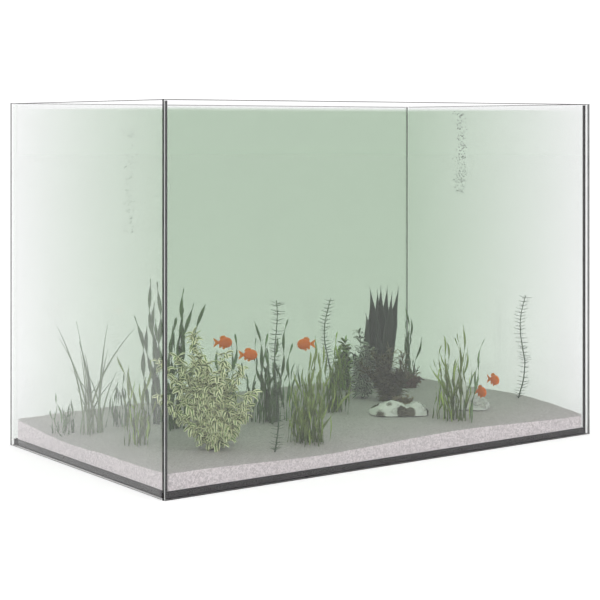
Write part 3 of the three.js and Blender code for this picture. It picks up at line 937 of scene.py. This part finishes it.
def make_leafy_plants():
    """The bush with pale-edged leaves, and the other plants with rings of small leaves."""
    variegated = leaf("variegated_leaf", (84, 104, 64), (116, 140, 82), (255, 255, 214), 0.36, 0.56)
    make_leafy("variegated_bush", variegated, (15, 4.2), 5.0, 4, 45, 110, extra=22, bare=0.2)
    broad = leaf("broadleaf", (96, 120, 72), (140, 164, 96), (160, 180, 118), 0.5, 0.8, contrast=0.45)
    make_leafy("dark_broadleaf", broad, (15, 3.6), 5.0, 5, 55, 60, extra=9, rise=0.8)
    # The conifer weed's pale leaf edges are a painted highlight on its dark leaves.
    conifer = leaf("conifer_weed", (46, 56, 44), (62, 74, 56), (236, 242, 226), 0.5, 0.64)
    make_leafy("dark_conifer_weed", conifer, (14, 3.4), 6.6, 6, 40, 60, extra=7, spread=1.15)
    feather = leaf("feather_weed", (88, 82, 64), (118, 112, 80), (136, 130, 96), 0.6, 0.9)
    make_leafy("feather_weed", feather, (16, 1.2), 3.0, 6, 50, 30, extra=30, rise=1.3, spread=1.3)
    red = leaf("red_weed", (108, 76, 70), (132, 98, 88), (150, 122, 106), 0.6, 0.9)
    make_leafy("red_weed", red, (10, 2.2), 2.4, 6, 40, 50, extra=14)
    moss = leaf("dry_moss", (140, 128, 108), (166, 150, 124), (184, 168, 138), 0.6, 0.9)
    make_leafy("dry_moss_tuft", moss, (4.5, 1.2), 1.8, 7, 25, 40, extra=26)


def needle_path(start, out, reach):
    """A short way that sets off along out and lifts a little towards its end."""
    spans = 3
    lift = 1.0 * MM
    path = []
    for k in range(spans + 1):
        path.append(start + out * (reach * k / spans) + Vector((0, 0, lift * (k / spans) ** 2)))
    return path


def make_stem_weeds():
    """Thin swaying stems with rings of fine needles."""
    every = 4.2 * MM
    per_ring = 4
    material = leaf("stem_weed", (74, 90, 68), (84, 100, 78), (88, 104, 82))
    for node in ("stem_weed_front", "stem_weed_centre", "stem_weed_right"):
        chance = random.Random(node)
        line = smooth_line(spine(node, 9), 60)
        growth = Growth()
        growth.stem(line, lambda t: (0.85 - 0.45 * t) * MM, 0.5)
        rings = int((line[-1].z - line[0].z) / every)
        for ring in range(1, rings):
            start = line[round(ring / rings * (len(line) - 1))]
            turn = chance.uniform(0, math.pi)
            for step in range(per_ring):
                angle = turn + step * 2 * math.pi / per_ring + chance.uniform(-0.3, 0.3)
                out = Vector((math.cos(angle), math.sin(angle), chance.uniform(-0.1, 0.25)))
                path = needle_path(start, out, chance.uniform(6.0, 9.0) * MM)
                growth.stem(path, lambda t: (0.34 - 0.14 * t) * MM, chance.random(), sides=4)
        stand_for(growth.build(node + "_needles", material), node)


# ---------------------------------------------------------------- fish

class FishMesh:
    """A fish about its middle, heading along +X. Its places and sizes are shares of its length."""

    nose = 0.5
    tail_root = -0.22
    fin_half_thick = 0.012
    eye_radius = 0.021

    def __init__(self, length):
        self.length = length
        self.mesh = bmesh.new()
        self.marks = {"edge": [], "eye": []}

    def put(self, x, y, z, edge=0.0):
        self.marks["edge"].append(edge)
        self.marks["eye"].append(0.0)
        return self.mesh.verts.new((x * self.length, y * self.length, z * self.length))

    def add_body(self):
        """Rings from the nose to the tail's root, fullest a little over a third of the way."""
        rings = 18
        sides = 14
        body = []
        for i in range(rings + 1):
            t = i / rings
            x = self.nose + (self.tail_root - self.nose) * t
            fullness = math.sin(math.pi * t ** 0.72) ** 0.75 if t < 1 else 0.0
            half_tall = 0.05 * t + 0.245 * fullness + 0.008
            half_wide = 0.014 * t + 0.085 * fullness + 0.006
            ring = []
            for side in range(sides):
                angle = 2 * math.pi * side / sides
                ring.append(self.put(x, half_wide * math.cos(angle), half_tall * math.sin(angle)))
            body.append(ring)
        for one, two in zip(body, body[1:]):
            for side in range(sides):
                after = (side + 1) % sides
                self.mesh.faces.new((one[side], one[after], two[after], two[side]))
        self.mesh.faces.new(body[0])
        self.mesh.faces.new(body[-1][::-1])

    def add_fin(self, roots, tips):
        """A thin fin from a root line inside the body to an outer line of as many points. Each
        point is a place along and up."""
        faces = self.mesh.faces
        left = [self.put(x, self.fin_half_thick, z) for x, z in roots]
        right = [self.put(x, -self.fin_half_thick, z) for x, z in roots]
        outer = [self.put(x, 0.0, z, edge=1.0) for x, z in tips]
        for k in range(len(roots) - 1):
            faces.new((left[k], left[k + 1], outer[k + 1], outer[k]))
            faces.new((right[k + 1], right[k], outer[k], outer[k + 1]))
            faces.new((left[k + 1], left[k], right[k], right[k + 1]))
        faces.new((left[0], outer[0], right[0]))
        faces.new((right[-1], outer[-1], left[-1]))

    def add_fins(self):
        """The tail fin, the back fin and two fins under the belly."""
        self.add_fin([(-0.18, 0.045), (-0.2, 0.025), (-0.2, 0.0), (-0.2, -0.025), (-0.18, -0.045)],
                     [(-0.48, 0.25), (-0.45, 0.12), (-0.38, 0.0), (-0.45, -0.12), (-0.48, -0.25)])
        self.add_fin([(0.26, 0.16), (0.14, 0.19), (0.02, 0.18), (-0.1, 0.1)],
                     [(0.2, 0.25), (0.1, 0.365), (-0.06, 0.35), (-0.18, 0.24)])
        self.add_fin([(0.2, -0.18), (0.12, -0.19), (0.04, -0.18)],
                     [(0.14, -0.29), (0.05, -0.36), (-0.03, -0.29)])
        self.add_fin([(0.0, -0.16), (-0.07, -0.12), (-0.13, -0.07)],
                     [(-0.07, -0.26), (-0.15, -0.29), (-0.2, -0.19)])

    def add_eyes(self):
        """A small ball on each side of the head."""
        for side in (-1, 1):
            place = Matrix.Translation(Vector((0.385, side * 0.062, 0.03)) * self.length)
            radius = self.eye_radius * self.length
            eye = bmesh.ops.create_icosphere(self.mesh, subdivisions=2, radius=radius, matrix=place)
            self.marks["edge"].extend([0.0] * len(eye["verts"]))
            self.marks["eye"].extend([1.0] * len(eye["verts"]))


def make_fish(node, material):
    """A small deep-bodied fish, set on its CAD solid and turned the way that it swims."""
    joint = next(j for j in frame["joints"] if j["child"] == node)
    heading = Vector(joint["axis"])
    reach = [point.dot(heading) for point in cad_points(node)]
    fish = FishMesh(max(reach) - min(reach))
    fish.add_body()
    fish.add_fins()
    fish.add_eyes()
    bmesh.ops.recalc_face_normals(fish.mesh, faces=fish.mesh.faces)
    data = bake(node + "_skin", fish.mesh)
    mark_points(data, fish.marks)
    low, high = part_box(node)
    turn = Matrix.Rotation(math.atan2(heading.y, heading.x), 4, "Z")
    data.transform(Matrix.Translation((low + high) / 2) @ turn)
    stand_for(place_mesh(node + "_skin", data, material, smooth_below=70), node, node)


# ---------------------------------------------------------------- stage, light and camera

def make_stage():
    """A plain white floor that melts into the white surroundings."""
    look = Look("floor")
    faint = look.noise(3, 2)
    shader = look.node("BsdfPrincipled", {
        "Base Color": look.mix(faint, (0.985, 0.985, 0.985, 1), (0.995, 0.995, 0.995, 1)),
        "Roughness": 0.95,
        "Specular IOR Level": 0.0,
    })
    mesh = bmesh.new()
    bmesh.ops.create_circle(mesh, cap_ends=True, segments=96, radius=20)
    data = bake("floor", mesh)
    place_mesh("floor", data, look.finish(shader.outputs[0]))


def make_light():
    """Bright white surroundings, and one soft lamp over the front left, aimed at the plants."""
    target = Vector((0, 0, 0.15))
    world = bpy.data.worlds.new("surroundings")
    bpy.context.scene.world = world
    world.use_nodes = True
    background = world.node_tree.nodes["Background"]
    background.inputs["Color"].default_value = (1, 1, 1, 1)
    background.inputs["Strength"].default_value = 1.2
    lamp = bpy.data.lights.new("key", "AREA")
    lamp.shape = "DISK"
    lamp.size = 2.0
    lamp.energy = 6.0
    key = bpy.data.objects.new("key", lamp)
    key.location = (-0.9, -1.3, 2.2)
    key.rotation_euler = (target - key.location).to_track_quat("-Z", "Y").to_euler()
    bpy.context.scene.collection.objects.link(key)


def make_camera():
    """Level, a little below the rim, and out from the front left corner. It is shifted down instead
    of tilted, so that upright edges stay upright."""
    out_left = 823.4 * MM
    out_front = 1372.1 * MM
    below_rim = 28.2 * MM
    turn = -35.8
    data = bpy.data.cameras.new("camera")
    data.lens = 96.23
    data.sensor_width = 36.0
    data.shift_y = -0.2879
    camera = bpy.data.objects.new("camera", data)
    camera.location = (left_pane[0].x - out_left, front_pane[0].y - out_front, rim - below_rim)
    camera.rotation_euler = (math.radians(90), 0, math.radians(turn))
    bpy.context.scene.collection.objects.link(camera)
    bpy.context.scene.camera = camera


def set_display():
    """Plain display colours, and enough bounces to see through all the panes and bubbles."""
    scene = bpy.context.scene
    scene.view_settings.view_transform = "Standard"
    scene.cycles.max_bounces = 24
    scene.cycles.transmission_bounces = 24
    scene.cycles.transparent_max_bounces = 64


dress_frame()
make_sand()
make_water()
make_bubbles()
make_stone("spotted_stone", spotted_rock(), 2.2 * MM)
make_stone("white_stone", pale_rock(), 3.0 * MM)
make_tape_grasses()
make_curved_grass()
make_reeds()
make_leafy_plants()
make_stem_weeds()
skin = fish_skin()
for number in range(1, 6):
    make_fish(f"fish_{number}", skin)
make_stage()
make_light()
make_camera()
set_display()
